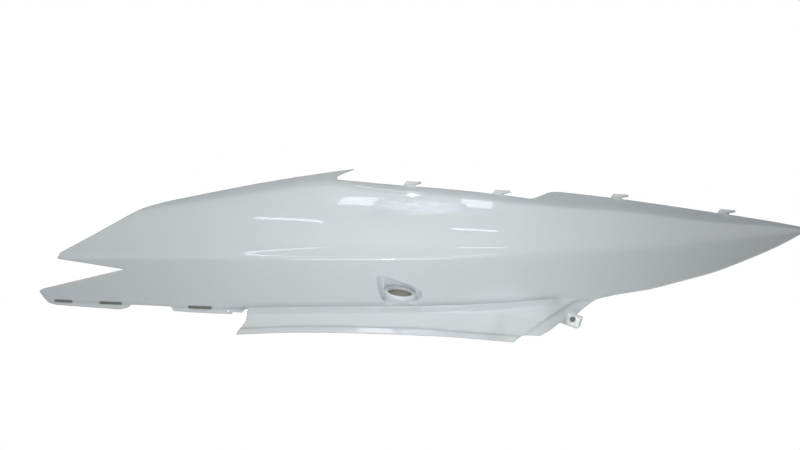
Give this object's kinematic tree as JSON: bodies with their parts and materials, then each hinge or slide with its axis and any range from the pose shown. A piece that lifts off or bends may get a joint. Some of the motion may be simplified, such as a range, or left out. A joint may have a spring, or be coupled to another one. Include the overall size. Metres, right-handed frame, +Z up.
{
  "type": "scooter side panel",
  "caption": "Left rear body side panel of a scooter: a curved moulded cover with a forked nose, a long tail, top hooks, a stepped skirt and a recessed lock opening.",
  "frame": {"origin": "on the flat inner face of the screw tab, 5 mm below the centre of its hole", "axes": "+X along the panel from its forked nose to its tail, +Y into the scooter, +Z up; the painted face looks along -Y"},
  "size_m": [0.811, 0.114, 0.1822],
  "materials": {
    "painted_plastic": "pearl white gloss paint on injection-moulded ABS"
  },
  "bodies": {
    "root": {"side_panel": "painted_plastic"}
  },
  "joints": []
}
